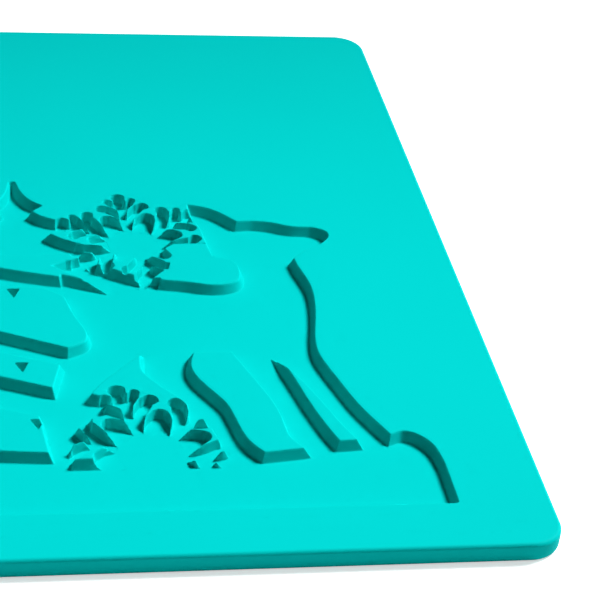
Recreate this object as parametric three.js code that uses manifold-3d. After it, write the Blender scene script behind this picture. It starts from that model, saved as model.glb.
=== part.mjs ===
// Silicone decorating mat: one soft moulding, 400 x 300 x 6 mm.
// Its top face carries a sunk winter scene. Batter is spread over the mat, fills the sunk
// figures, and comes out of the oven as a relief on the sponge sheet.
// Millimetres, +Z up, origin under the middle of the mat, near edge at -Y.
import * as THREE from 'three';
import { mergeVertices } from 'three/addons/utils/BufferGeometryUtils.js';
import Module from 'manifold-3d';

const WIDTH = 400;            // along X
const DEPTH = 300;            // along Y
const THICKNESS = 6;
const FLOOR = 2.7;            // silicone left under the sunk figures
const CORNER_RADIUS = 10;
const EDGE_FILLET = 1.2;      // rounded rim, top and bottom
const DRAFT_DEG = 7.5;        // walls lean out so that the sponge lets go

const SIDE_MARGIN = 26.7;     // plain border left and right of the scene
const NEAR_MARGIN = 19;       // plain border below the ground line
const FAR_MARGIN = 38;        // plain border above the tall fir

const FLAKE_ARMS = 6;
const HIGH_FLAKE = { x: 98.8, y: 7.5, r: 26.6, turn: 7.2 };
const LOW_FLAKE = { x: 91.4, y: -102.3, r: 30.2, turn: 15.8 };
const SMALL_FIR_X = 62;       // the small fir stands behind the deer
const TRUNK = 10;             // half width of the tall fir's trunk
const TWIG = 2.5;             // half width of the small fir's trunk
const DOT_WIDTH = 4;          // three-cornered snow dots between the boughs
const DOT_LENGTH = 4;         // from the flat far side to the point
const DOTS = [[57, -24.5], [57.2, -63.5], [59.6, -91.4]];

// The scene is drawn about the middle of the mat, in millimetres, between these limits.
const SCENE_RIGHT = 173.3;
const SCENE_TOP = 112;
const GROUND_LINE = -131;

const CORNER_STEPS = 8;
const FILLET_STEPS = 3;
const LOBE_STEPS = 5;
const TOOL_RISE = 1;          // how far a cutting tool stands above the top face

const sink = THICKNESS - FLOOR;
const lean = sink * Math.tan(THREE.MathUtils.degToRad(DRAFT_DEG));
const sceneScale = Math.min(
  (WIDTH / 2 - SIDE_MARGIN) / SCENE_RIGHT,
  (DEPTH - NEAR_MARGIN - FAR_MARGIN) / (SCENE_TOP - GROUND_LINE),
);
const groundY = NEAR_MARGIN - DEPTH / 2;

const wasm = await Module();
wasm.setup();

const v = (x, y) => new THREE.Vector2(x, y);
const polar = (r, deg) => v(r, 0).rotateAround(v(0, 0), THREE.MathUtils.degToRad(deg));
const line = (points) => points.map(([x, y]) => v(x, y));
const mirrored = (points) => points.map((p) => v(-p.x, p.y)).reverse();

// A smooth open run through hand-set points.
function run(points, perSpan) {
  const curve = new THREE.SplineCurve(line(points));
  return curve.getPoints((points.length - 1) * perSpan);
}

// A circular run round (x, y), from one angle to another.
function arc(x, y, r, from, to, steps) {
  const at = (i) => polar(r, from + (to - from) * i / steps).add(v(x, y));
  return Array.from({ length: steps + 1 }, (_, i) => at(i));
}

// Sets a drawn outline on the mat: the ground line lies at its margin, doubled points go.
function onMat(points) {
  const kept = points.filter((p, i) => p.distanceTo(points[(i + 1) % points.length]) > 0.05);
  return kept.map((p) => v(p.x * sceneScale, groundY + (p.y - GROUND_LINE) * sceneScale));
}

function solid(geometry) {
  geometry.deleteAttribute('normal');
  geometry.deleteAttribute('uv');
  const merged = mergeVertices(geometry);
  return new wasm.Manifold(new wasm.Mesh({
    numProp: 3,
    vertProperties: new Float32Array(merged.attributes.position.array),
    triVerts: new Uint32Array(merged.index.array),
  }));
}

// A tool that sinks an outline: full size at the top face, smaller by the lean at the floor.
// Outlines given as islands stay up, and widen towards the floor.
function sinker(outline, islandOutlines = []) {
  const points = onMat(outline);
  const shape = new THREE.Shape(THREE.ShapeUtils.isClockWise(points) ? points.reverse() : points);
  shape.holes = islandOutlines.map((island) => new THREE.Path(onMat(island)));
  const tool = new THREE.ExtrudeGeometry(shape, {
    depth: TOOL_RISE,
    bevelThickness: sink,
    bevelSize: lean,
    bevelOffset: -lean,
    bevelSegments: 1,
  });
  tool.translate(0, 0, THICKNESS);
  return solid(tool);
}

// The plain slab, with round corners and a rounded rim.
function slab() {
  const x = WIDTH / 2 - CORNER_RADIUS;
  const y = DEPTH / 2 - CORNER_RADIUS;
  const corners = [[x, y, 0], [-x, y, 90], [-x, -y, 180], [x, -y, 270]];
  const rim = corners.flatMap(([cx, cy, at]) => arc(cx, cy, CORNER_RADIUS, at, at + 90, CORNER_STEPS));
  const plate = new THREE.ExtrudeGeometry(new THREE.Shape(rim), {
    depth: THICKNESS - 2 * EDGE_FILLET,
    bevelThickness: EDGE_FILLET,
    bevelSize: EDGE_FILLET,
    bevelOffset: -EDGE_FILLET,
    bevelSegments: FILLET_STEPS,
  });
  plate.translate(0, 0, EDGE_FILLET);
  return solid(plate);
}

// The main outline: a tall fir on the middle line, a deer walking away on either side of it,
// and the snow that they stand in. Drawn for the right half, then mirrored.
function sceneOutline() {
  const fir = [
    ...line([[0, SCENE_TOP], [6, 96], [17, 79], [9.5, 80], [16, 61], [31, 43], [14, 46]]),
    ...run([[20, 25], [33, 4], [52, -9.4], [71.5, -15.4]], 2),
  ];
  const back = [
    ...line([[73.4, -15.2]]),
    ...run([[80, -17.4], [87.5, -23.6], [95, -23.2], [102, -21.2]], 2),
    ...run([[105.2, -17.3], [112, -18.6], [119, -20.2], [124.5, -19.9], [128.6, -17.3],
      [129.6, -12], [128.9, -7.6], [126, -5.2], [122.2, -4]], 2),
    ...run([[121.2, 4], [120.2, 14], [117.8, 21]], 2),
  ];
  const head = [
    ...run([[118.2, 27.6], [123, 26.2], [127.5, 23.4], [133.2, 17.1]], 3),
    ...run([[138, 17.6], [144, 16.6], [151, 14], [157.6, 13.4], [161.6, 11], [161.9, 7.4],
      [158.6, 3.2], [153, -0.6], [148.4, -5.2]], 3),
  ];
  const chest = run([[148.8, -9.5], [151, -22], [150, -35], [147.2, -50], [147, -59],
    [150, -71], [154.2, -85], [159.9, -99.4]], 3);
  const mound = [
    ...run([[161, -98.2], [164.6, -97.4], [169, -99.8], [172.1, -105], [SCENE_RIGHT, -113]], 3),
    ...arc(SCENE_RIGHT - 2, GROUND_LINE + 2, 2, 0, -90, 4),
  ];
  const half = [...fir, ...back, ...head, ...chest, ...mound];
  return [...half, ...mirrored(half.slice(1))];
}

// What stays up inside the main outline: the spaces between boughs, and between legs.
function islands() {
  const upperBough = [
    ...run([[TRUNK, 6], [30, -11], [56, -20], [67.5, -21.4]], 2),
    ...run([[73.3, -26.5], [75.2, -36], [78, -45], [77.3, -50.2], [72, -53.6]], 2),
    ...run([[51, -44], [30, -32], [TRUNK, -17]], 2),
  ];
  const middleBough = [
    ...run([[TRUNK, -31], [30, -44.5], [52, -55.5], [68.8, -62.2]], 2),
    ...run([[65.8, -73.6], [50, -67], [28, -57], [TRUNK, -45]], 2),
  ];
  const lowerBough = [
    ...run([[TRUNK, -64], [30, -75], [48, -82.5], [60.8, -87]], 2),
    ...run([[62.2, -104], [48, -102.6], [28, -99], [TRUNK, -94]], 2),
  ];
  const belly = [
    ...run([[92.8, -58], [92.6, -66], [97, -73.6], [102.5, -80.6], [108, -91], [111, -103]], 2),
    ...line([[112.3, -111.6], [69.4, -111.2]]),
    ...run([[69.3, -94], [74, -81.4], [80, -72], [86.5, -64.6]], 2),
  ];
  const betweenLegs = [
    ...line([[109, -57]]),
    ...run([[107.2, -67], [112, -77], [116.6, -88], [122.6, -106]], 3),
    ...run([[134.2, -104.4], [131.2, -95], [130, -81], [126.4, -69], [121, -57]], 2),
  ];
  const betweenForelegs = [
    ...run([[134.4, -62], [138.2, -76], [141.4, -90], [145.2, -101.6]], 2),
    ...run([[150.8, -101], [147.4, -91], [141.8, -76], [136, -63]], 2),
  ];
  const right = [upperBough, middleBough, lowerBough, belly, betweenLegs, betweenForelegs];
  return [...right, ...right.map(mirrored)];
}

// Snowflake. Each arm is a stem with two pairs of round-ended barbs, and a wider lobe opens
// between arms. Thin ribs stay up in between, with points that lean towards the stem.
// off and lean are degrees from the arm: where a lobe ends, and which way it points.
// reach and half are its length and half width, in flake radii.
function flake({ x, y, r, turn }) {
  const tip = { off: 0, reach: 1, half: 0.07, lean: 0 };
  const barbs = [
    { off: 8, reach: 0.95, half: 0.05, lean: 16 },
    { off: 18.5, reach: 0.86, half: 0.068, lean: 28 },
  ];
  const between = { off: 180 / FLAKE_ARMS, reach: 0.65, half: 0.085, lean: 180 / FLAKE_ARMS };
  const ribs = [{ off: 2.4, reach: 0.7 }, { off: 5.5, reach: 0.52 }, { off: 13, reach: 0.31 }];

  const lobe = (arm, side, { off, reach, half, lean: way }) => {
    const pointing = arm + side * way;
    const c = polar(r * reach, arm + side * off).sub(polar(r * half, pointing));
    return arc(x + c.x, y + c.y, r * half, pointing - 90, pointing + 90, LOBE_STEPS);
  };
  const rib = (arm, side, { off, reach }) => polar(r * reach, arm + side * off).add(v(x, y));
  const sector = (k) => {
    const arm = 90 + turn + 360 * k / FLAKE_ARMS;
    return [
      rib(arm, -1, ribs[2]), ...lobe(arm, -1, barbs[1]),
      rib(arm, -1, ribs[1]), ...lobe(arm, -1, barbs[0]),
      rib(arm, -1, ribs[0]), ...lobe(arm, 1, tip),
      rib(arm, 1, ribs[0]), ...lobe(arm, 1, barbs[0]),
      rib(arm, 1, ribs[1]), ...lobe(arm, 1, barbs[1]),
      rib(arm, 1, ribs[2]), ...lobe(arm, 1, between),
    ];
  };
  return Array.from({ length: FLAKE_ARMS }, (_, k) => sector(k)).flat();
}

// Small fir: pointed top, three tiers and a trunk, drawn about its own middle line.
function smallFir() {
  const side = [
    ...run([[0, 42.2], [1.6, 36.5], [4.4, 31], [9, 26.8]], 2),
    ...line([[4, 23.2]]),
    ...run([[6.6, 18.8], [10, 15.4], [15, 12.4]], 2),
    ...line([[5.4, 7.8]]),
    ...run([[10, 8.2], [14.4, 4.8], [20, 1.8]], 2),
    ...line([[TWIG, -1], [TWIG, -5.5]]),
  ];
  return [...side, ...mirrored(side.slice(1))].map((p) => v(p.x + SMALL_FIR_X, p.y));
}

const dot = ([x, y]) => line([
  [x - DOT_WIDTH / 2, y + DOT_LENGTH / 2],
  [x + DOT_WIDTH / 2, y + DOT_LENGTH / 2],
  [x, y - DOT_LENGTH / 2],
]);

function mat() {
  const right = [flake(HIGH_FLAKE), flake(LOW_FLAKE), smallFir(), ...DOTS.map(dot)];
  const tools = [...right, ...right.map(mirrored)].map((outline) => sinker(outline));
  const scene = sinker(sceneOutline(), islands());
  return tools.reduce((body, tool) => body.subtract(tool), slab().subtract(scene));
}

function geometryOf(body) {
  const mesh = body.getMesh();
  const geometry = new THREE.BufferGeometry();
  geometry.setAttribute('position', new THREE.BufferAttribute(new Float32Array(mesh.vertProperties), 3));
  geometry.setIndex(new THREE.BufferAttribute(new Uint32Array(mesh.triVerts), 1));
  geometry.computeVertexNormals();
  return geometry;
}

const silicone = new THREE.MeshStandardMaterial({ color: '#00d6d0', roughness: 0.55, metalness: 0 });
const mouldedMat = new THREE.Mesh(geometryOf(mat()), silicone);
mouldedMat.name = 'moulded_mat';

const part = new THREE.Group();
part.name = 'decorating_mat';
part.add(mouldedMat);

export default part;
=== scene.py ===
"""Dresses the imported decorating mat: a fine relief mesh in satin silicone, on a pale stage."""
import math

import bmesh
import bpy
import numpy as np
from bpy.props import FloatProperty, FloatVectorProperty, PointerProperty
from bpy.types import Operator, Panel, PropertyGroup
from mathutils import Matrix, Vector
from mathutils.geometry import delaunay_2d_cdt


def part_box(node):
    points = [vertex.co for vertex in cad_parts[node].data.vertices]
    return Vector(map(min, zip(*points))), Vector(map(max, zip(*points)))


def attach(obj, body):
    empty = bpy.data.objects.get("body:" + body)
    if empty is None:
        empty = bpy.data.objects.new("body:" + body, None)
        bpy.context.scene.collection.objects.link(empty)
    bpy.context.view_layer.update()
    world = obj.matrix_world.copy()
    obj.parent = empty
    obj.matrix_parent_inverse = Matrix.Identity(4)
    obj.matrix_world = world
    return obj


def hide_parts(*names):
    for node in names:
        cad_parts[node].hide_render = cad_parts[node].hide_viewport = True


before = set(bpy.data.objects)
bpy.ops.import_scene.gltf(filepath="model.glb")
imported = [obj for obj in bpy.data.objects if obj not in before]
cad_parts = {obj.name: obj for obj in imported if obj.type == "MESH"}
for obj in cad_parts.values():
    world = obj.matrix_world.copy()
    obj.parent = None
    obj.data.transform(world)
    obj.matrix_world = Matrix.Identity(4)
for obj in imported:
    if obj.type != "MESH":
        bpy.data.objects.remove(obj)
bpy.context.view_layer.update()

bl_info = {
    "name": "Decorating mat",
    "version": (1, 0, 0),
    "blender": (4, 5, 0),
    "location": "3D View > Sidebar > Decorating mat",
    "description": "Moulds a silicone decorating mat with a sunk winter scene and sets its stage",
    "category": "Object",
}

MAT_LOW, MAT_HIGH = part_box("moulded_mat")
MM = 0.001

# The scene is drawn about the middle of the mat, in millimetres, between these limits.
SCENE_RIGHT = 173.3
SCENE_TOP = 112
GROUND_LINE = -131

FLAKE_ARMS = 6
# Lobes of half an arm, from its tip round to the one between two arms: degrees off the arm,
# reach and half width in flake radii, and degrees of lean.
FLAKE_LOBES = ((0, 1.0, 0.100, 0), (10.2, 0.905, 0.068, 18), (19.7, 0.81, 0.088, 18), (30, 0.60, 0.092, 30))
# Ribs after each of those lobes, at the middle and at the foot: degrees off the arm, reach in
# flake radii, and height of the crest as a share of the wall's.
FLAKE_RIBS = (
    ((5, 0.87, 0.8), (4, 0.83, 0)),
    ((6.2, 0.65, 1.0), (4.6, 0.57, 0)),
    ((14, 0.46, 1.0), (8.5, 0.33, 0)),
)
FLAKE_BLEND = 1.4   # mm over which a rib's side runs into the round end of a lobe
GRID = 0.16    # mm between the nodes on which the relief's distances are worked out
REACH = 2.6    # mm either side of an outline in which a distance is wanted
MITRE_REACH = 9   # mm, the furthest that a sharp corner's foot may lie from its top
SHARP = math.radians(25)   # an outline that turns by more than this has a corner there
BEND = math.radians(7)   # a wall line keeps a point each time that it turns by this much
STRIDE = 2.0   # mm, the longest straight piece of a wall line
CLOSE_POINTS = 0.05   # mm, points of a wall line that lie nearer than this are one point
FEW_POINTS = 12   # a wall line with fewer points than this is left as it is
SMOOTHINGS = 3   # how often a wall line is evened out
NO_LENGTH = 0.02   # mm, an edge of an outline that is shorter than this is left out
OFF_LEVEL = 1e-7   # mm, moves a grid node off a level that it lies on
MERGE = 1e-5   # mm, points of the relief that lie nearer than this are one point
SAME = 1e-6   # places that differ by less than this are the same
ROUND_POINTS = 4   # points on a wall's lip, and on its foot
FLAT_POINTS = 4   # points on the flat of a wall, between lip and foot

# Ribs of the snowflakes, and the edges that get a painted highlight.
NECK_SPARE = 0.25   # mm of half the gap between two lobes by which their rib stays thinner
RIB_FLARE = 0.3   # mm that half a rib gains past its neck
RIB_RUN_IN = 1.5   # mm that a rib is carried past its neck, into the land outside
CREST_ERROR = 0.12   # mm, the most by which a point on a rib's crest may miss its level
CREST_PULL = 1.2   # mm, the furthest that a drawn point is moved to lie on a crest
LEVEL_SLACK = 0.01   # mm by which a height may miss the end of a wall and still be on it
HIGHLIGHT_BEND = 0.8   # bend of the distance, per mm, at which an upright edge starts to take the painted highlight
HIGHLIGHT_BEND_SPAN = 1.5   # further bend, per mm, at which it takes the painted highlight as fully as a lip

# The slab.
CORNER_SEGMENTS = 16
RIM_SEGMENTS = 6
FACES_UP = 0.999   # least upward part of the normal of the flat top face
AT_TOP = 0.99   # least height of that face's middle, as a share of the thickness

# The finish, with widths and depths in metres.
CLOUD_WIDTH = 0.07   # dye clouds are about 70 mm across
GRIT_WIDTH = 0.0006   # blasting pits are about 0.1 mm wide, drawn 0.6 mm wide so that they show
GRIT_DEPTH = 0.00002
GRIT_STRENGTH = 0.12
ROUGHNESS_SWING = 0.03   # by which the roughness changes with the dye clouds, either way
SILICONE_IOR = 1.41

# Floor and lamps, in metres.
FLOOR_SIZE = 8
KEY_PLACE = (0.92, 0.26, 0.99)
KEY_AIM = (-0.11, -0.2, 0)   # the near left, so that the light falls off to the far right
KEY_SIZE = 0.35
FILL_PLACE = (-0.12, -0.22, 0.45)
FILL_AIM = (-0.1, -0.15, 0)
FILL_SIZE = 0.25
SENSOR_WIDTH = 36   # mm


def linear(code):
    """Linear colour of an sRGB hex code."""
    parts = [int(code[i:i + 2], 16) / 255 for i in (1, 3, 5)]
    return tuple(c / 12.92 if c <= 0.04045 else ((c + 0.055) / 1.055) ** 2.4 for c in parts)


class MatSizes(PropertyGroup):
    """Sizes of the moulding."""

    width: FloatProperty(
        name="Width", description="Length of the mat along X",
        default=MAT_HIGH.x - MAT_LOW.x, min=0.1, unit="LENGTH")
    depth: FloatProperty(
        name="Depth", description="Length of the mat along Y",
        default=MAT_HIGH.y - MAT_LOW.y, min=0.1, unit="LENGTH")
    thickness: FloatProperty(
        name="Thickness", description="Height of the top face",
        default=MAT_HIGH.z - MAT_LOW.z, min=0.004, unit="LENGTH")
    floor: FloatProperty(
        name="Floor", description="Silicone left under the sunk figures",
        default=0.0027, min=0.0005, unit="LENGTH")
    corner: FloatProperty(
        name="Corner radius", description="Radius of the four corners, seen from above",
        default=0.010, min=0.002, unit="LENGTH")
    rim: FloatProperty(
        name="Rim radius", description="Rounding of the outer edge, top and bottom",
        default=0.0012, min=0.0002, unit="LENGTH")
    draft: FloatProperty(
        name="Draft", description="How far the sunk walls lean out from upright",
        default=math.radians(23.5), min=0.0, max=0.6, subtype="ANGLE")
    flake_draft: FloatProperty(
        name="Flake draft", description="How far the walls of the snowflakes and dots lean out",
        default=math.radians(9), min=0.0, max=0.6, subtype="ANGLE")
    lip: FloatProperty(
        name="Lip radius", description="Rounding where a wall meets the top face",
        default=0.00045, min=0.0001, unit="LENGTH")
    foot: FloatProperty(
        name="Foot radius", description="Rounding where a wall meets the sunk floor",
        default=0.00045, min=0.0001, unit="LENGTH")
    side_margin: FloatProperty(
        name="Side margin", description="Plain border left and right of the scene",
        default=0.0267, min=0.0, unit="LENGTH")
    near_margin: FloatProperty(
        name="Near margin", description="Plain border below the ground line",
        default=0.019, min=0.0, unit="LENGTH")
    far_margin: FloatProperty(
        name="Far margin", description="Plain border above the tall fir",
        default=0.038, min=0.0, unit="LENGTH")


class FigurePlaces(PropertyGroup):
    """Places of the loose figures on the right half; the left half mirrors them."""

    high_flake: FloatVectorProperty(
        name="High flake", description="Middle of the upper snowflake",
        size=2, default=(0.0988, 0.0075), unit="LENGTH")
    high_flake_radius: FloatProperty(
        name="High flake radius", description="Reach of the upper snowflake's arms",
        default=0.0266, min=0.01, unit="LENGTH")
    high_flake_turn: FloatProperty(
        name="High flake turn", description="Turn of the upper snowflake",
        default=math.radians(7.2), subtype="ANGLE")
    low_flake: FloatVectorProperty(
        name="Low flake", description="Middle of the lower snowflake",
        size=2, default=(0.0914, -0.1023), unit="LENGTH")
    low_flake_radius: FloatProperty(
        name="Low flake radius", description="Reach of the lower snowflake's arms",
        default=0.0302, min=0.01, unit="LENGTH")
    low_flake_turn: FloatProperty(
        name="Low flake turn", description="Turn of the lower snowflake",
        default=math.radians(15.8), subtype="ANGLE")
    small_fir: FloatProperty(
        name="Small fir", description="Distance of the small fir from the middle line",
        default=0.062, unit="LENGTH")
    trunk: FloatProperty(
        name="Trunk", description="Half width of the tall fir's trunk",
        default=0.010, min=0.002, unit="LENGTH")
    dot: FloatProperty(
        name="Snow dot", description="Width of the three-cornered dots between the boughs",
        default=0.0042, min=0.001, unit="LENGTH")


class SiliconeFinish(PropertyGroup):
    """Colour and surface of the silicone."""

    colour: FloatVectorProperty(
        name="Turquoise", description="Colour of the dyed silicone",
        size=3, default=linear("#00CBC7"), min=0.0, max=1.0, subtype="COLOR")
    cloud: FloatVectorProperty(
        name="Cloud", description="Slightly deeper colour where the dye lies thicker",
        size=3, default=linear("#00C7C3"), min=0.0, max=1.0, subtype="COLOR")
    gloss: FloatProperty(
        name="Gloss", description="Strength of the surface reflection",
        default=0.012, min=0.0, max=1.0, subtype="FACTOR")
    # Painted highlight: a lighter colour laid on lips and upright edges, in place of the light that catches
    # them.
    edge: FloatVectorProperty(
        name="Edge", description="Lighter colour of thin edges, which light passes through",
        size=3, default=linear("#00D8D4"), min=0.0, max=1.0, subtype="COLOR")
    roughness: FloatProperty(
        name="Roughness", description="Spread of the surface reflection",
        default=0.48, min=0.0, max=1.0, subtype="FACTOR")


class StageSetup(PropertyGroup):
    """Camera, lamps and floor."""

    camera_place: FloatVectorProperty(
        name="Camera", description="Where the camera stands",
        size=3, default=(0.00338, -0.60728, 0.39141), subtype="TRANSLATION", unit="LENGTH")
    heading: FloatProperty(
        name="Heading", description="Turn of the camera to the right of +Y",
        default=math.radians(13.874), subtype="ANGLE")
    tilt: FloatProperty(
        name="Tilt", description="How far the camera looks down",
        default=math.radians(32.928), subtype="ANGLE")
    roll: FloatProperty(
        name="Roll", description="Turn of the camera about its own line of sight",
        default=math.radians(7.175), subtype="ANGLE")
    lens: FloatProperty(
        name="Lens", description="Focal length for a 36 mm sensor",
        default=137.27, min=10.0, unit="CAMERA")
    key: FloatProperty(
        name="Key light", description="Power of the softbox to the right",
        default=3.42, min=0.0, unit="POWER")
    fill: FloatProperty(
        name="Fill light", description="Power of the small softbox above the near left",
        default=0.09, min=0.0, unit="POWER")
    key_spread: FloatProperty(
        name="Key spread", description="Angle that the grid of the softbox lets light out at",
        default=math.radians(58), min=0.1, max=math.pi, subtype="ANGLE")
    sky: FloatProperty(
        name="Sky", description="Strength of the even light from all round",
        default=0.025, min=0.0)
    floor_lift: FloatProperty(
        name="Floor lift", description="White that the floor shows to the camera alone",
        default=0.6, min=0.0, max=1.0)
    floor_colour: FloatVectorProperty(
        name="Floor", description="Colour of the floor",
        size=3, default=linear("#F4F4F4"), min=0.0, max=1.0, subtype="COLOR")


def run(points, per_span=10):
    """Smooth open run through given points."""
    p = np.array(points, float)
    ends = np.vstack([p[:1], p, p[-1:]])
    t = np.linspace(0, 1, per_span, endpoint=False)[:, None]
    spans = []
    for a, b, c, d in zip(ends, ends[1:], ends[2:], ends[3:]):
        bow = (2 * a - 5 * b + 4 * c - d) * t ** 2 + (3 * b - a - 3 * c + d) * t ** 3
        spans.append((2 * b + (c - a) * t + bow) / 2)
    return np.vstack(spans + [p[-1:]])


def line(points):
    """Straight run through given points."""
    return np.array(points, float)


def polar(r, degrees):
    """Point at a distance and an angle from the middle."""
    a = np.radians(degrees)
    return np.stack([r * np.cos(a), r * np.sin(a)], -1)


def mirrored(points):
    """The same outline on the other side of the middle line."""
    return points[::-1] * (-1, 1)


def scene_outline():
    """Tall fir on the middle line, a deer walking away on either side, and the snow under them."""
    half = np.vstack([
        line([[0, SCENE_TOP], [6, 96], [17, 79], [9.5, 80], [16, 61], [31, 43], [14, 46]]),
        run([[20, 25], [33, 4], [52, -8.6], [72.7, -15.1]]),
        run([[73.4, -13.8], [76.4, -14.9], [79.6, -16.3]]),
        line([[70.6, -8.8], [75.6, -5.8], [82, -5.8]]),
        run([[86, -8.6], [89, -10.4], [92, -12.2], [95, -14], [97, -15.2]]),
        line([[98.2, -10.5], [101.4, -10.5], [102, -12.6], [104.4, -13.4]]),
        run([[101.8, -16.6], [106, -17.5], [112, -18.4], [119, -20.2], [124.5, -19.9], [128.6, -17.3],
             [129.6, -12], [128.9, -7.6], [126, -5.2], [122.2, -4]]),
        run([[121.2, 4], [120.2, 14], [117.8, 21]]),
        run([[118.2, 27.6], [123, 26.2], [127.5, 23.4], [133.2, 17.1]]),
        run([[138, 17.6], [144, 16.6], [151, 14], [157.6, 13.4], [161.6, 11], [161.9, 7.4],
             [158.6, 3.2], [153, -0.6], [148.4, -5.2]]),
        run([[148.8, -9.5], [151, -22], [150, -35], [147.2, -50], [147, -59], [150, -71],
             [154.2, -85], [160.4, -99]]),
        run([[160.8, -98.8], [164.6, -97.4], [169, -99.8], [172.1, -105], [SCENE_RIGHT, -113]]),
        polar(0.9, np.linspace(0, -90, 7)) + (SCENE_RIGHT - 0.9, GROUND_LINE + 0.9),
    ])
    return np.vstack([half, mirrored(half[1:])])


def islands(trunk):
    """What stays up inside the scene on the right: spaces between boughs and between legs."""
    return [
        np.vstack([
            run([[trunk, 6], [30, -11], [56, -20], [67.5, -21.4]]),
            run([[73.3, -26.5], [75.2, -36], [78, -45], [77.3, -50.2], [72, -53.6]]),
            run([[51, -44], [30, -32], [trunk, -17]]),
        ]),
        np.vstack([
            run([[trunk, -31], [30, -44.5], [52, -55.5], [68.8, -62.2]]),
            run([[65.8, -73.6], [50, -67], [28, -57], [trunk, -45]]),
        ]),
        np.vstack([
            run([[trunk, -64], [30, -75], [48, -82.5], [60.8, -87]]),
            run([[62.2, -104], [48, -102.6], [28, -99], [trunk, -94]]),
        ]),
        np.vstack([
            run([[92.8, -58], [92.6, -66], [97, -73.6], [102.5, -80.6], [108, -91], [111, -103]]),
            line([[112, -107.6], [69.4, -107.2]]),
            run([[69.3, -97], [72.4, -91.6], [73.6, -89.6]]),
            line([[80.6, -87], [80.8, -78.6]]),
            run([[76.8, -77], [80, -72], [86.5, -64.6]]),
        ]),
        np.vstack([
            run([[109, -57], [107.7, -61.4], [107.4, -65], [108.2, -68.8], [110.4, -73.6], [112.9, -78.1],
                 [115.2, -82.7], [116.5, -88.6], [117.8, -96.2], [119.6, -101.6], [122.6, -106]]),
            run([[134.2, -104.4], [131.2, -99.6], [130.4, -94.6], [130, -88.6], [128.8, -82],
                 [126.7, -75.2], [123.2, -64.9], [120.6, -57]]),
        ]),
        np.vstack([
            run([[136, -65.2], [137.6, -72.5], [139.9, -83.9], [142.6, -94.2], [145, -101.4]]),
            run([[150.2, -101], [146.8, -93], [144.2, -85], [140.5, -75], [137.6, -68.2]]),
        ]),
    ]


def flake(middle, r, turn, lean):
    """Snowflake as a ring of round lobes (middle, radius) and of the thin ribs left between them.

    A rib is a run of (x, y, half width at the floor) from the edge in to its foot, where it runs
    out on the floor. Lean is that of the walls, in mm.
    """
    lobes = []
    insides = []
    step = 360 / FLAKE_ARMS
    for k in range(FLAKE_ARMS):
        arm = 90 + turn + step * k
        for side, n in ((-1, 2), (-1, 1), (1, 0), (1, 1), (1, 2), (1, 3)):
            off, reach, half, way = FLAKE_LOBES[n]
            end = middle + polar(r * reach, arm + side * off)
            lobes.append((end - polar(r * half, arm + side * way), r * half))
        for base, side, n in ((0, -1, 1), (0, -1, 0), (0, 1, 0), (0, 1, 1), (0, 1, 2), (step, -1, 2)):
            insides.append([
                (*(middle + polar(r * reach, arm + base + side * off)), share * lean)
                for off, reach, share in FLAKE_RIBS[n]])
    ribs = []
    for inside, (a, wide), (b, wide_next) in zip(insides, lobes, lobes[1:] + lobes[:1]):
        way = (b - a) / np.linalg.norm(b - a)
        gap = np.linalg.norm(b - a) - wide - wide_next
        neck = a + way * (wide + gap / 2)
        thick = lean + max(gap / 2 - NECK_SPARE, 0)
        outside = neck + RIB_RUN_IN * np.array([way[1], -way[0]])
        ribs.append(run([(*outside, thick + RIB_FLARE), (*neck, thick), *inside], per_span=5))
    return lobes, ribs


def window(points, xs, ys):
    """Part of the grid within reach of some points."""
    low = np.min(points, 0) - REACH
    high = np.max(points, 0) + REACH
    rows = slice(*np.searchsorted(ys, (low[1], high[1])))
    cols = slice(*np.searchsorted(xs, (low[0], high[0])))
    return (rows, cols), np.stack(np.meshgrid(xs[cols], ys[rows]), -1)


def flake_depth(lobes, ribs, lean, xs, ys):
    """Distance into a snowflake at each grid node: its lobes and what they enclose, less its ribs."""
    depth = depth_into(np.array([centre for centre, _ in lobes]), xs, ys)
    for centre, half in lobes:
        part, p = window([centre - half, centre + half], xs, ys)
        depth[part] = np.maximum(depth[part], half - np.linalg.norm(p - centre, axis=-1))
    for rib in ribs:
        part, p = window(rib[:, :2], xs, ys)
        clear = np.full(p.shape[:2], REACH)
        for a, b in zip(rib, rib[1:]):
            way = b - a
            t = np.clip((p - a[:2]) @ way[:2] / (way[:2] @ way[:2]), 0, 1)
            gap = np.linalg.norm(p - a[:2] - t[..., None] * way[:2], axis=-1) - a[2] - t * way[2]
            clear = np.minimum(clear, lean + gap)
        near = np.maximum(FLAKE_BLEND - abs(depth[part] - clear), 0)
        depth[part] = np.minimum(depth[part], clear) - near ** 2 / (4 * FLAKE_BLEND)
    return depth


def snow_drift():
    """Drift that lies in front of the upper snowflake and hides the end of one arm."""
    return np.vstack([
        line([[107.6, 0.6]]),
        run([[110.5, 3.2], [117, 3.6], [124, 3]]),
        line([[130, -2], [130, -15.5], [101.8, -16.2], [104.6, -13.2], [107.4, -11], [108, -8.6],
              [109.4, -3]]),
    ])


def small_fir(x):
    """Blunt top and three tiers, about its own middle line."""
    side = np.vstack([
        run([[0, 42.2], [1, 41.8], [1.4, 40.4], [2.2, 36.4], [4.6, 31], [9, 26.8]]),
        run([[5.4, 23.4], [8, 20.6], [12, 18.4], [15.4, 16.4], [17, 12]]),
        run([[10.1, 9.8], [13.4, 6.9], [16.4, 5.1], [19.9, 2.8]]),
        run([[19.5, -2.4], [13, -2.1], [4, -2.9]]),
    ])
    return np.vstack([side, mirrored(side[1:])]) + (x, 0)


def snow_dots(wide):
    """Three-cornered snow dots, each with its point towards the near edge."""
    dot = np.array([[-0.5, 0.6], [0.5, 0.6], [0, -0.6]]) * wide
    return [dot + (58, -24.5), dot + (57.8, -63.5), dot + (60.2, -91.2)]


def scene_scale(sizes):
    """How far the drawn scene is stretched to keep its margins."""
    wide = (sizes.width / 2 - sizes.side_margin) / MM / SCENE_RIGHT
    deep = (sizes.depth - sizes.near_margin - sizes.far_margin) / MM / (SCENE_TOP - GROUND_LINE)
    return min(wide, deep)


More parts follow.
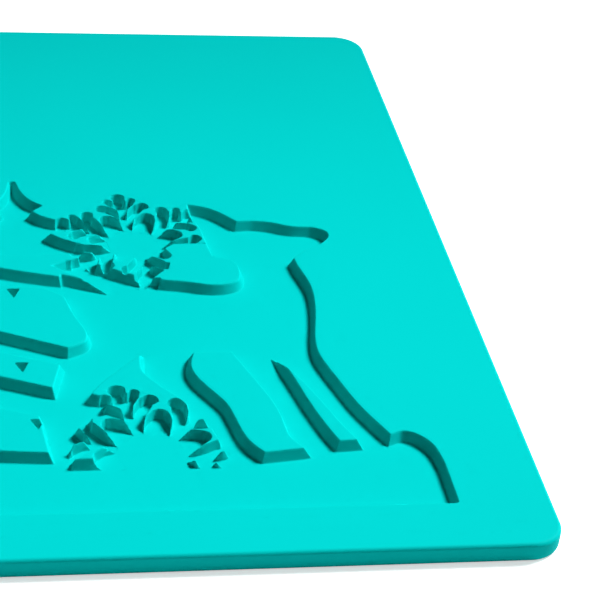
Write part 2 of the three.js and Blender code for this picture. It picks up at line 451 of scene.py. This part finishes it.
def on_mat(points, sizes):
    """Sets drawn points on the mat, with the ground line at its margin."""
    ground = (sizes.near_margin - sizes.depth / 2) / MM
    return (points - (0, GROUND_LINE)) * scene_scale(sizes) + (0, ground)


def mitre(near, outline, xs, ys):
    """Keeps the walls flat up to an upright edge round each sharp corner of an outline."""
    before = outline - np.roll(outline, 1, 0)
    before /= np.linalg.norm(before, axis=1)[:, None]
    after = np.roll(before, -1, 0)
    turn = before[:, 0] * after[:, 1] - before[:, 1] * after[:, 0]
    angle = np.arctan2(turn, (before * after).sum(1))
    for k in np.flatnonzero(abs(angle) > SHARP):
        far = min(REACH / math.cos(angle[k] / 2), MITRE_REACH) - REACH
        part, p = window([outline[k] - far, outline[k] + far], xs, ys)
        p = p - outline[k]
        side = np.sign(angle[k])
        first = side * (p @ (before[k, 1], -before[k, 0]))
        second = side * (p @ (after[k, 1], -after[k, 0]))
        beyond = (p @ before[k] > 0) & (p @ after[k] < 0) & (np.linalg.norm(p, axis=-1) < MITRE_REACH)
        corner = np.where(beyond, np.maximum(first, second), REACH)
        near[part] = np.minimum(near[part], np.maximum(corner, 0))


def depth_into(outline, xs, ys):
    """Distance into a closed outline at each grid node, negative outside, held at the reach."""
    gap = np.linalg.norm(outline - np.roll(outline, -1, 0), axis=1)
    a = outline[gap > NO_LENGTH]
    b = np.roll(a, -1, 0)
    near = np.full((len(ys), len(xs)), REACH)
    mitre(near, a, xs, ys)
    for (ax, ay), (bx, by) in zip(a, b):
        i0, i1 = np.searchsorted(xs, (min(ax, bx) - REACH, max(ax, bx) + REACH))
        j0, j1 = np.searchsorted(ys, (min(ay, by) - REACH, max(ay, by) + REACH))
        if i0 == i1 or j0 == j1:
            continue
        px = xs[None, i0:i1] - ax
        py = ys[j0:j1, None] - ay
        ex = bx - ax
        ey = by - ay
        t = np.clip((px * ex + py * ey) / (ex * ex + ey * ey), 0, 1)
        block = near[j0:j1, i0:i1]
        np.minimum(block, np.hypot(px - t * ex, py - t * ey), out=block)
    inside = np.zeros(near.shape, bool)
    for j, y in enumerate(ys):
        c = (a[:, 1] > y) != (b[:, 1] > y)
        x = a[c, 0] + (y - a[c, 1]) * (b[c, 0] - a[c, 0]) / (b[c, 1] - a[c, 1])
        inside[j] = np.searchsorted(np.sort(x), xs) % 2 == 1
    return np.where(inside, near, -near)


def sunk_field(sizes, places, xs, ys):
    """Distance into the sunk figures of the right half, and the snowflakes' ribs."""
    field = depth_into(on_mat(scene_outline(), sizes), xs, ys)
    for island in islands(places.trunk / MM):
        field = np.minimum(field, -depth_into(on_mat(island, sizes), xs, ys))
    lone_fir = small_fir(places.small_fir / MM)
    field = np.maximum(field, depth_into(on_mat(lone_fir, sizes), xs, ys))
    flakes = (
        (places.high_flake, places.high_flake_radius, places.high_flake_turn),
        (places.low_flake, places.low_flake_radius, places.low_flake_turn),
    )
    lean, steeper = flake_lean(sizes)
    for dot in snow_dots(places.dot / MM):
        field = np.maximum(field, steeper * depth_into(on_mat(dot, sizes), xs, ys))
    ground = on_mat(np.array([0, GROUND_LINE]), sizes)[1]
    clear_of_snow = np.minimum(-depth_into(on_mat(snow_drift(), sizes), xs, ys), ys[:, None] - ground)
    ribs = []
    for middle, radius, turn in flakes:
        centre = on_mat(np.array(middle) / MM, sizes)
        reach = radius / MM * scene_scale(sizes)
        lobes, found = flake(centre, reach, math.degrees(turn), lean)
        depth = np.minimum(flake_depth(lobes, found, lean, xs, ys), clear_of_snow)
        field = np.maximum(field, steeper * depth)
        ribs += found
    return field, ribs


def crest_point(rib, level, lean):
    """Where a rib's crest has one value of the distance, if it does anywhere."""
    x, y, half = rib[::-1].T
    if not half[0] < lean - level < half[-1]:
        return None
    return np.array([np.interp(lean - level, half, x), np.interp(lean - level, half, y)])


def sample(field, xs, ys, point):
    """Value of the field at a point between grid nodes."""
    i = (point[0] - xs[0]) / GRID
    j = (point[1] - ys[0]) / GRID
    i0 = min(max(int(i), 0), len(xs) - 2)
    j0 = min(max(int(j), 0), len(ys) - 2)
    u = i - i0
    v = j - j0
    near = field[j0, i0] * (1 - u) + field[j0, i0 + 1] * u
    far = field[j0 + 1, i0] * (1 - u) + field[j0 + 1, i0 + 1] * u
    return near * (1 - v) + far * v


def chained(pairs):
    """Joins pairs of point numbers into runs; a closed run repeats its first number at the end."""
    links = {}
    for a, b in pairs:
        links.setdefault(a, []).append(b)
        links.setdefault(b, []).append(a)
    starts = [k for k, near in links.items() if len(near) == 1] + list(links)
    used = set()
    chains = []
    for start in starts:
        if start in used:
            continue
        chain = [start]
        used.add(start)
        while True:
            ahead = [k for k in links[chain[-1]] if k not in used]
            if not ahead:
                break
            chain.append(ahead[0])
            used.add(ahead[0])
        if len(chain) > 2 and chain[0] in links[chain[-1]]:
            chain.append(chain[0])
        chains.append(chain)
    return chains


def level_lines(field, level, xs, ys):
    """Lines along which the field has one value, found cell by cell on the grid."""
    f = np.where(field == level, OFF_LEVEL, field - level)
    high = f > 0
    rows, cols = f.shape
    index = np.arange(rows * cols).reshape(rows, cols)
    across = high[:, 1:] != high[:, :-1]
    upward = high[1:] != high[:-1]
    places = {}
    for j, i in zip(*np.nonzero(across)):
        part = f[j, i] / (f[j, i] - f[j, i + 1])
        places[int(index[j, i])] = (xs[i] + GRID * part, ys[j])
    for j, i in zip(*np.nonzero(upward)):
        part = f[j, i] / (f[j, i] - f[j + 1, i])
        places[int(index[j, i]) + rows * cols] = (xs[i], ys[j] + GRID * part)
    pairs = []
    crossed = across[:-1] | across[1:] | upward[:, :-1] | upward[:, 1:]
    for j, i in zip(*np.nonzero(crossed)):
        low = int(index[j, i]) if across[j, i] else None
        top = int(index[j + 1, i]) if across[j + 1, i] else None
        left = int(index[j, i]) + rows * cols if upward[j, i] else None
        right = int(index[j, i + 1]) + rows * cols if upward[j, i + 1] else None
        ends = [e for e in (low, right, top, left) if e is not None]
        if len(ends) == 2:
            pairs.append(tuple(ends))
        elif (f[j:j + 2, i:i + 2].mean() > 0) == high[j, i]:
            pairs += [(low, right), (top, left)]
        else:
            pairs += [(low, left), (top, right)]
    return [np.array([places[k] for k in chain]) for chain in chained(pairs)]


def thinned(points):
    """Evens out a level line and keeps only the points that its bends need."""
    closed = np.allclose(points[0], points[-1])
    gap = np.linalg.norm(np.diff(points, axis=0), axis=1)
    p = np.vstack([points[:1], points[1:][gap > CLOSE_POINTS]])
    if not closed:
        p[-1] = points[-1]
    elif np.allclose(p[0], p[-1]):
        p = p[:-1]
    if len(p) < FEW_POINTS:
        return p, closed
    for _ in range(SMOOTHINGS):
        even = (np.roll(p, 1, 0) + 2 * p + np.roll(p, -1, 0)) / 4
        if not closed:
            even[0] = p[0]
            even[-1] = p[-1]
        p = even
    way = np.roll(p, -1, 0) - np.roll(p, 1, 0) if closed else np.gradient(p, axis=0)
    heading = np.unwrap(np.arctan2(way[:, 1], way[:, 0]))
    keep = [0]
    for i in range(1, len(p)):
        last = keep[-1]
        turned = abs(heading[i] - heading[last]) > BEND
        if turned or math.dist(p[i], p[last]) > STRIDE or (not closed and i == len(p) - 1):
            keep.append(i)
    return p[keep], closed


def wall_lean(sizes, draft):
    """How far a sunk wall leans out between floor and top face, in mm."""
    return (sizes.thickness - sizes.floor) / MM * math.tan(draft)


def flake_lean(sizes):
    """Lean of the snowflakes' walls in mm, and how many times steeper they are than the others."""
    lean = wall_lean(sizes, sizes.flake_draft)
    return lean, wall_lean(sizes, sizes.draft) / lean


def wall_section(sizes):
    """Section of a sunk wall as (distance into the figure, height) in mm, from top face to floor."""
    top = sizes.thickness / MM
    low = sizes.floor / MM
    lip = sizes.lip / MM
    foot = sizes.foot / MM
    draft = sizes.draft
    bite = math.tan((math.pi / 2 - draft) / 2)
    lean = wall_lean(sizes, draft)
    section = []
    for a in np.linspace(math.pi / 2, draft, ROUND_POINTS):
        section.append((-lip * bite + lip * math.cos(a), top - lip + lip * math.sin(a)))
    rise = []
    for a in np.linspace(math.pi + draft, 1.5 * math.pi, ROUND_POINTS):
        rise.append((lean + foot * bite + foot * math.cos(a), low + foot + foot * math.sin(a)))
    # Levels on the flat of the wall, for figures too narrow to reach the floor.
    between = [np.linspace(p, q, FLAT_POINTS + 2)[1:-1] for p, q in zip(section[-1], rise[0])]
    section += list(zip(*between))
    return section + rise


def pick(obj, kind, test):
    """Selects only the edges or faces that pass the test, in edit mode."""
    bpy.ops.mesh.select_mode(type="EDGE" if kind == "edges" else "FACE")
    bpy.ops.mesh.select_all(action="DESELECT")
    mesh = bmesh.from_edit_mesh(obj.data)
    for item in getattr(mesh, kind):
        item.select_set(test(item))
    mesh.select_flush_mode()
    bmesh.update_edit_mesh(obj.data)


def edit_all(operator, **settings):
    """Runs one mesh operator on all of the active object's mesh."""
    bpy.ops.object.mode_set(mode="EDIT")
    bpy.ops.mesh.select_all(action="SELECT")
    operator(**settings)
    bpy.ops.object.mode_set(mode="OBJECT")


def half_slab(sizes):
    """Right half of the plain slab: round corners, rounded rim, open on top inside the rim."""
    bpy.ops.object.select_all(action="DESELECT")
    bpy.ops.mesh.primitive_cube_add(size=1, location=(0, 0, sizes.thickness / 2))
    slab = bpy.context.object
    slab.scale = (sizes.width, sizes.depth, sizes.thickness)
    bpy.ops.object.transform_apply(location=True, rotation=True, scale=True)
    bpy.ops.object.mode_set(mode="EDIT")
    pick(slab, "edges", lambda e: abs(e.verts[0].co.z - e.verts[1].co.z) > sizes.thickness / 2)
    bpy.ops.mesh.bevel(offset=sizes.corner, segments=CORNER_SEGMENTS, affect="EDGES")
    pick(slab, "edges", lambda e: abs(e.verts[0].co.z - e.verts[1].co.z) < sizes.thickness / 2)
    bpy.ops.mesh.bevel(offset=sizes.rim, segments=RIM_SEGMENTS, affect="EDGES")
    bpy.ops.mesh.select_all(action="SELECT")
    bpy.ops.mesh.bisect(plane_co=(0, 0, 0), plane_no=(1, 0, 0), clear_inner=True)
    top = sizes.thickness * AT_TOP
    pick(slab, "faces", lambda f: f.normal.z > FACES_UP and f.calc_center_median().z > top)
    bpy.ops.mesh.delete(type="FACE")
    bpy.ops.object.mode_set(mode="OBJECT")
    return slab


def rim_line(slab, sizes):
    """The open edge round the top of the half slab, in mm, from its near end to its far end."""
    mesh = slab.data
    top = {v.index for v in mesh.vertices if abs(v.co.z - sizes.thickness) < SAME}
    chains = chained([tuple(e.vertices) for e in mesh.edges if set(e.vertices) <= top])
    if len(chains) != 1:
        raise RuntimeError("the slab's rim isn't one open line")
    points = np.array([mesh.vertices[i].co[:2] for i in chains[0]]) / MM
    return points if points[0, 1] < points[-1, 1] else points[::-1]


def relief_sheet(sizes, places, rim):
    """Right half of the top face, with the sunk figures.

    The ribs of the snowflakes are thinner than two lips, which a bevel would run into each
    other, so the wall is drawn as level lines of the distance into the figures instead. Where
    a rib is too thin for the whole section, its top simply stays lower, as in a real mould.
    """
    xs = np.arange(0, SCENE_RIGHT + 2 * REACH, GRID)
    ys = np.arange(GROUND_LINE - 2 * REACH, SCENE_TOP + 2 * REACH, GRID)
    field, ribs = sunk_field(sizes, places, xs, ys)
    section = wall_section(sizes)
    lean, steeper = flake_lean(sizes)
    points = [tuple(p) for p in rim]
    heights = [sizes.thickness / MM] * len(points)
    edges = [(i, i + 1) for i in range(len(points) - 1)]
    crests = {}
    for level, height in section:
        first = len(points)
        for wall in level_lines(field, level, xs, ys):
            kept, closed = thinned(wall)
            if len(kept) < 3:
                continue
            start = len(points)
            points += [tuple(p) for p in kept]
            heights += [height] * len(kept)
            edges += [(start + i, start + i + 1) for i in range(len(kept) - 1)]
            if closed:
                edges.append((len(points) - 1, start))
        drawn = np.array(points[first:])
        for n, rib in enumerate(ribs):
            tip = crest_point(rib, level / steeper, lean)
            if tip is None or abs(sample(field, xs, ys, tip) - level) > CREST_ERROR * steeper:
                continue
            gap = np.linalg.norm(drawn - tip, axis=1)
            nearest = int(gap.argmin())
            if gap[nearest] < CREST_PULL:
                points[first + nearest] = tuple(tip)
                crests.setdefault(n, []).append(first + nearest)
    for crest in crests.values():
        edges += list(zip(crest, crest[1:]))
    middle = sorted((i for i, p in enumerate(points) if abs(p[0]) < SAME), key=lambda i: points[i][1])
    edges += list(zip(middle, middle[1:]))
    vectors = [Vector((0 if abs(x) < SAME else x, y)) for x, y in points]
    flat, _, faces, sources, _, _ = delaunay_2d_cdt(vectors, edges, [], 0, MERGE)

    def height_of(p, source):
        if source:
            return heights[source[0]]
        return float(np.interp(sample(field, xs, ys, p), *np.transpose(section)))

    bend = (np.gradient(np.gradient(field, GRID, axis=0), GRID, axis=0)
            + np.gradient(np.gradient(field, GRID, axis=1), GRID, axis=1))

    levels = [height for _, height in section]
    lip_end = levels[ROUND_POINTS - 1]
    wall_top = levels[ROUND_POINTS]
    wall_end = levels[-ROUND_POINTS - 1]

    def painted_highlight_of(p, height):
        """How far a point is on a lip or on an upright edge, which get a painted highlight."""
        lip = float(np.interp(height, [wall_top, lip_end, levels[0]], [0, 1, 0]))
        on_wall = wall_end - LEVEL_SLACK < height < lip_end + LEVEL_SLACK
        upright = (sample(bend, xs, ys, p) - HIGHLIGHT_BEND) / HIGHLIGHT_BEND_SPAN if on_wall else 0
        return min(max(lip, upright, 0), 1)

    verts = [(p.x * MM, p.y * MM, height_of(p, s) * MM) for p, s in zip(flat, sources)]
    mesh = bpy.data.meshes.new("relief_sheet")
    mesh.from_pydata(verts, [], faces)
    # This attribute is the mask of the painted highlight on lips and upright edges.
    edge = mesh.attributes.new("edge", "FLOAT", "POINT")
    edge.data.foreach_set("value", [painted_highlight_of(p, v[2] / MM) for p, v in zip(flat, verts)])
    sheet = bpy.data.objects.new("relief_sheet", mesh)
    bpy.context.collection.objects.link(sheet)
    return sheet


def check_closed(obj):
    """Stops the script if the mesh has an open or doubled edge."""
    mesh = bmesh.new()
    mesh.from_mesh(obj.data)
    bad = sum(not e.is_manifold for e in mesh.edges)
    mesh.free()
    if bad:
        raise RuntimeError(f"{obj.name} has {bad} open edges")


def node(tree, kind, settings=(), links=()):
    """Adds one node with its settings, and links other nodes' sockets into it, by name or number."""
    made = tree.nodes.new(kind)
    for name, value in dict(settings).items():
        if isinstance(name, int) or name in made.inputs:
            made.inputs[name].default_value = value
        else:
            setattr(made, name, value)
    for name, source in dict(links).items():
        tree.links.new(source, made.inputs[name])
    return made


def empty_material(name):
    """New node material with nothing in it yet."""
    material = bpy.data.materials.new(name)
    material.use_nodes = True
    material.node_tree.nodes.clear()
    return material


def moulded_silicone(finish):
    """Press-moulded satin silicone.

    It is dyed right through, and lips and upright edges get a lighter, painted highlight; the
    blasted mould leaves a satin face: a broad, weak gloss and no sharp reflections.
    """
    material = empty_material("press_moulded_satin_silicone")
    tree = material.node_tree
    place = node(tree, "ShaderNodeTexCoord").outputs["Object"]
    clouds = node(tree, "ShaderNodeTexNoise", {"Scale": 1 / CLOUD_WIDTH, "Detail": 2.0}, {"Vector": place})
    colour = node(tree, "ShaderNodeMix",
                  {"data_type": "RGBA", 6: (*finish.colour, 1), 7: (*finish.cloud, 1)},
                  {0: clouds.outputs["Fac"]})
    # Painted highlight: lips and upright edges get a lighter colour, in place of the light that catches
    # them.
    highlight_mask = node(tree, "ShaderNodeAttribute", {"attribute_name": "edge"})
    colour = node(tree, "ShaderNodeMix", {"data_type": "RGBA", 7: (*finish.edge, 1)},
                  {0: highlight_mask.outputs["Fac"], 6: colour.outputs[2]})
    grain = node(tree, "ShaderNodeTexNoise", {"Scale": 1 / GRIT_WIDTH, "Detail": 1.0}, {"Vector": place})
    pits = node(tree, "ShaderNodeBump", {"Strength": GRIT_STRENGTH, "Distance": GRIT_DEPTH},
                {"Height": grain.outputs["Fac"]})
    rough = node(tree, "ShaderNodeMapRange",
                 {"To Min": finish.roughness - ROUGHNESS_SWING,
                  "To Max": finish.roughness + ROUGHNESS_SWING},
                 {"Value": clouds.outputs["Fac"]})
    silicone = node(
        tree, "ShaderNodeBsdfPrincipled",
        {"IOR": SILICONE_IOR, "Specular IOR Level": finish.gloss},
        {"Base Color": colour.outputs[2], "Roughness": rough.outputs["Result"],
         "Normal": pits.outputs["Normal"]})
    node(tree, "ShaderNodeOutputMaterial", (), {"Surface": silicone.outputs["BSDF"]})
    return material


class MAT_OT_mould(Operator):
    """Mould the mat: a rounded slab whose top face carries the sunk winter scene"""

    bl_idname = "mat.mould"
    bl_label = "Mould the mat"
    bl_options = {"REGISTER", "UNDO"}

    def execute(self, context):
        sizes = context.scene.mat_sizes
        slab = half_slab(sizes)
        sheet = relief_sheet(sizes, context.scene.mat_figures, rim_line(slab, sizes))
        sheet.select_set(True)
        slab.select_set(True)
        context.view_layer.objects.active = slab
        bpy.ops.object.join()
        slab.name = "relief_mat"
        slab.data.name = "relief_mat"
        edit_all(bpy.ops.mesh.remove_doubles, threshold=SAME)
        bpy.ops.object.modifier_add(type="MIRROR")
        slab.modifiers["Mirror"].merge_threshold = SAME
        bpy.ops.object.modifier_apply(modifier="Mirror")
        edit_all(bpy.ops.mesh.normals_make_consistent, inside=False)
        check_closed(slab)
        bpy.ops.object.shade_smooth()
        bpy.ops.object.modifier_add(type="WEIGHTED_NORMAL")
        bpy.ops.object.modifier_apply(modifier="WeightedNormal")
        slab.data.materials.clear()
        slab.data.materials.append(moulded_silicone(context.scene.mat_finish))
        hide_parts("moulded_mat")
        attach(slab, "root")
        return {"FINISHED"}


def pale_floor(stage):
    """Matt painted studio floor, white to the camera and still shaded under the mat."""
    material = empty_material("matt_painted_floor")
    tree = material.node_tree
    rays = node(tree, "ShaderNodeLightPath").outputs
    paint = node(tree, "ShaderNodeBsdfDiffuse", {"Color": (*stage.floor_colour, 1)})
    lift = node(tree, "ShaderNodeMath", {"operation": "MULTIPLY", 1: stage.floor_lift},
                {0: rays["Is Camera Ray"]})
    glow = node(tree, "ShaderNodeEmission", {"Color": (1, 1, 1, 1)}, {"Strength": lift.outputs[0]})
    both = node(tree, "ShaderNodeAddShader", (),
                {0: paint.outputs["BSDF"], 1: glow.outputs["Emission"]})
    node(tree, "ShaderNodeOutputMaterial", (), {"Surface": both.outputs["Shader"]})
    return material


def softbox(name, place, target, size, power):
    """Soft square lamp that looks at a point."""
    lamp = bpy.data.lights.new(name, "AREA")
    lamp.shape = "SQUARE"
    lamp.size = size
    lamp.energy = power
    made = bpy.data.objects.new(name, lamp)
    made.location = place
    made.rotation_euler = (Vector(target) - Vector(place)).to_track_quat("-Z", "Y").to_euler()
    bpy.context.collection.objects.link(made)
    return made


class MAT_OT_set_stage(Operator):
    """Set the stage: pale floor, soft light from the right, white surround and the camera"""

    bl_idname = "mat.set_stage"
    bl_label = "Set the stage"
    bl_options = {"REGISTER", "UNDO"}

    def execute(self, context):
        scene = context.scene
        stage = scene.mat_stage
        bpy.ops.object.select_all(action="DESELECT")
        bpy.ops.mesh.primitive_plane_add(size=FLOOR_SIZE)
        floor = context.object
        floor.name = "floor"
        floor.data.materials.append(pale_floor(stage))

        key = softbox("key_softbox", KEY_PLACE, KEY_AIM, KEY_SIZE, stage.key)
        key.data.spread = stage.key_spread
        softbox("fill_softbox", FILL_PLACE, FILL_AIM, FILL_SIZE, stage.fill)

        world = bpy.data.worlds.new("white_surround")
        world.use_nodes = True
        tree = world.node_tree
        tree.nodes.clear()
        rays = node(tree, "ShaderNodeLightPath").outputs
        seen = node(tree, "ShaderNodeMath", {"operation": "MAXIMUM"},
                    {0: rays["Is Camera Ray"], 1: rays["Is Glossy Ray"]})
        clear = node(tree, "ShaderNodeMath", {"operation": "MAXIMUM"},
                     {0: seen.outputs[0], 1: rays["Is Transmission Ray"]})
        level = node(tree, "ShaderNodeMapRange", {"To Min": stage.sky, "To Max": 1.0},
                     {"Value": clear.outputs[0]})
        sky = node(tree, "ShaderNodeBackground", {"Color": (1, 1, 1, 1)},
                   {"Strength": level.outputs["Result"]})
        node(tree, "ShaderNodeOutputWorld", (), {"Surface": sky.outputs["Background"]})
        scene.world = world

        lens = bpy.data.cameras.new("camera")
        lens.lens = stage.lens
        lens.sensor_width = SENSOR_WIDTH
        camera = bpy.data.objects.new("camera", lens)
        context.collection.objects.link(camera)
        ahead = Vector((
            math.sin(stage.heading) * math.cos(stage.tilt),
            math.cos(stage.heading) * math.cos(stage.tilt),
            -math.sin(stage.tilt)))
        level_right = Vector((math.cos(stage.heading), -math.sin(stage.heading), 0))
        level_up = level_right.cross(ahead)
        right = level_right * math.cos(stage.roll) + level_up * math.sin(stage.roll)
        up = right.cross(ahead)
        turn = Matrix((right, up, -ahead)).transposed()
        camera.matrix_world = Matrix.Translation(stage.camera_place) @ turn.to_4x4()
        scene.camera = camera
        scene.view_settings.view_transform = "Standard"
        return {"FINISHED"}


class VIEW3D_PT_decorating_mat(Panel):
    """Sidebar panel with the mat's operators and sizes"""

    bl_label = "Decorating mat"
    bl_space_type = "VIEW_3D"
    bl_region_type = "UI"
    bl_category = "Decorating mat"

    def draw(self, context):
        layout = self.layout
        for operator in (MAT_OT_mould, MAT_OT_set_stage):
            layout.operator(operator.bl_idname)
        for name in GROUPS:
            group = getattr(context.scene, name)
            box = layout.box()
            for prop in group.bl_rna.properties:
                if prop.identifier not in {"rna_type", "name"}:
                    box.prop(group, prop.identifier)


GROUPS = {
    "mat_sizes": MatSizes,
    "mat_figures": FigurePlaces,
    "mat_finish": SiliconeFinish,
    "mat_stage": StageSetup,
}
CLASSES = (*GROUPS.values(), MAT_OT_mould, MAT_OT_set_stage, VIEW3D_PT_decorating_mat)


def register():
    for cls in CLASSES:
        bpy.utils.register_class(cls)
    for name, group in GROUPS.items():
        setattr(bpy.types.Scene, name, PointerProperty(type=group))


def unregister():
    for name in GROUPS:
        delattr(bpy.types.Scene, name)
    for cls in reversed(CLASSES):
        bpy.utils.unregister_class(cls)


def main():
    """Makes the pieces in order."""
    register()
    bpy.ops.mat.mould()
    bpy.ops.mat.set_stage()


if __name__ == "__main__":
    main()
